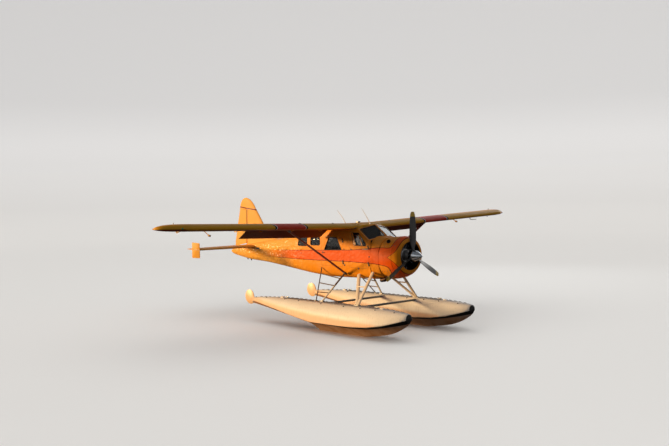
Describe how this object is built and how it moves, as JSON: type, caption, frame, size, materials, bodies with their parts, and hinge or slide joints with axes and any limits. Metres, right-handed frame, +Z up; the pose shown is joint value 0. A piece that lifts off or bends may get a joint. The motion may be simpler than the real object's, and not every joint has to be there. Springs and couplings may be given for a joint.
{
  "type": "single-engined bush floatplane",
  "caption": "High-wing bush floatplane with a radial engine in a round cowl, lowered flaps, hinged side doors, and floats on struts with water rudders.",
  "frame": {"origin": "middle of the bounding box, on the floor under the float keels", "axes": "+X towards the nose, +Y to port, +Z up"},
  "size_m": [10.07, 14.4342, 4],
  "materials": {
    "gold_paint": "gloss paint over aluminium sheet",
    "red_paint": "gloss paint over aluminium",
    "cream_paint": "gloss paint",
    "strut_silver": "satin",
    "spinner_metal": "polished",
    "engine_metal": "oily matte",
    "exhaust_steel": "heat stained",
    "blade_black": "satin paint",
    "bumper_rubber": "matte",
    "window_glass": "clear",
    "seat_cloth": "woven",
    "panel_black": "matte"
  },
  "bodies": {
    "airframe": {"wing_port": "gold_paint", "wing_starboard": "gold_paint", "cabin_side_port": "gold_paint", "cabin_side_starboard": "gold_paint", "rear_window_fore_port": "window_glass", "rear_window_fore_starboard": "window_glass", "rear_window_aft_port": "window_glass", "rear_window_aft_starboard": "window_glass", "cabin_roof": "gold_paint", "cabin_floor": "gold_paint", "cabin_bulkhead": "gold_paint", "nose_section": "gold_paint", "windscreen_frame": "gold_paint", "windscreen_port": "window_glass", "windscreen_starboard": "window_glass", "tailplane": "gold_paint", "finlet_port": "gold_paint", "finlet_starboard": "gold_paint", "tail_cone": "gold_paint", "fin": "gold_paint", "engine_cowl": "gold_paint", "exhaust_pipe": "exhaust_steel", "engine": "engine_metal", "float_port": "cream_paint", "float_bumper_port": "bumper_rubber", "float_starboard": "cream_paint", "float_bumper_starboard": "bumper_rubber", "wing_strut_port": "red_paint", "wing_strut_starboard": "red_paint", "front_strut_port": "strut_silver", "front_strut_starboard": "strut_silver", "rear_strut_port": "strut_silver", "rear_strut_starboard": "strut_silver", "spreader_bar_front": "strut_silver", "spreader_bar_rear": "strut_silver", "seat_front_port": "seat_cloth", "seat_front_starboard": "seat_cloth", "seat_middle": "seat_cloth", "seat_rear": "seat_cloth", "instrument_panel": "panel_black"},
    "propeller": {"propeller": "blade_black", "spinner": "spinner_metal"},
    "cockpit_door_port": {"cockpit_door_port": "gold_paint", "cockpit_door_glass_port": "window_glass"},
    "cockpit_door_starboard": {"cockpit_door_starboard": "gold_paint", "cockpit_door_glass_starboard": "window_glass"},
    "cabin_door_port": {"cabin_door_port": "gold_paint", "cabin_door_glass_port": "window_glass"},
    "cabin_door_starboard": {"cabin_door_starboard": "gold_paint", "cabin_door_glass_starboard": "window_glass"},
    "flap_port": {"flap_port": "gold_paint"},
    "flap_starboard": {"flap_starboard": "gold_paint"},
    "aileron_port": {"aileron_port": "gold_paint"},
    "aileron_starboard": {"aileron_starboard": "gold_paint"},
    "elevator": {"elevator_port": "gold_paint", "elevator_starboard": "gold_paint"},
    "rudder": {"rudder": "gold_paint"},
    "water_rudder_port": {"water_rudder_port": "gold_paint"},
    "water_rudder_starboard": {"water_rudder_starboard": "gold_paint"}
  },
  "joints": [
    {"name": "propeller_spin", "type": "hinge", "parent": "airframe", "child": "propeller", "pos_m": [3.885, 0, 2.3], "axis": [1, 0, 0], "continuous": true},
    {"name": "cockpit_door_port_hinge", "type": "hinge", "parent": "airframe", "child": "cockpit_door_port", "pos_m": [2.645, 0.628, 2.22], "axis": [0, 0, -1], "range_deg": [0, 80]},
    {"name": "cockpit_door_starboard_hinge", "type": "hinge", "parent": "airframe", "child": "cockpit_door_starboard", "pos_m": [2.645, -0.628, 2.22], "axis": [0, 0, 1], "range_deg": [0, 80]},
    {"name": "cabin_door_port_hinge", "type": "hinge", "parent": "airframe", "child": "cabin_door_port", "pos_m": [1.525, 0.628, 2.305], "axis": [0, 0, -1], "range_deg": [0, 80]},
    {"name": "cabin_door_starboard_hinge", "type": "hinge", "parent": "airframe", "child": "cabin_door_starboard", "pos_m": [1.525, -0.628, 2.305], "axis": [0, 0, 1], "range_deg": [0, 80]},
    {"name": "flap_port_hinge", "type": "hinge", "parent": "airframe", "child": "flap_port", "pos_m": [0.96701, 2.29669, 3.0979], "axis": [0, -0.9994, -0.0358], "range_deg": [-38, 20]},
    {"name": "flap_starboard_hinge", "type": "hinge", "parent": "airframe", "child": "flap_starboard", "pos_m": [0.96701, -2.29669, 3.0979], "axis": [0, -0.9994, 0.0358], "range_deg": [-38, 20]},
    {"name": "aileron_port_hinge", "type": "hinge", "parent": "airframe", "child": "aileron_port", "pos_m": [0.96554, 5.19083, 3.2435], "axis": [0, -0.9994, -0.0358], "range_deg": [-20, 20]},
    {"name": "aileron_starboard_hinge", "type": "hinge", "parent": "airframe", "child": "aileron_starboard", "pos_m": [0.96554, -5.19083, 3.2435], "axis": [0, -0.9994, 0.0358], "range_deg": [-20, 20]},
    {"name": "elevator_hinge", "type": "hinge", "parent": "airframe", "child": "elevator", "pos_m": [-4.015, 0, 2.31], "axis": [0, -1, 0], "range_deg": [-25, 20]},
    {"name": "rudder_hinge", "type": "hinge", "parent": "airframe", "child": "rudder", "pos_m": [-4.115, 0, 2.8], "axis": [0, 0, 1], "range_deg": [-25, 25]},
    {"name": "water_rudder_port_hinge", "type": "hinge", "parent": "airframe", "child": "water_rudder_port", "pos_m": [-2.025, 1.36, 0.61], "axis": [0, -1, 0], "range_deg": [0, 75]},
    {"name": "water_rudder_starboard_hinge", "type": "hinge", "parent": "airframe", "child": "water_rudder_starboard", "pos_m": [-2.025, -1.36, 0.61], "axis": [0, -1, 0], "range_deg": [0, 75]}
  ],
  "couplings": [
    {"joint": "flap_starboard_hinge", "follows": "flap_port_hinge", "ratio": 1},
    {"joint": "aileron_starboard_hinge", "follows": "aileron_port_hinge", "ratio": -1},
    {"joint": "water_rudder_starboard_hinge", "follows": "water_rudder_port_hinge", "ratio": 1}
  ]
}
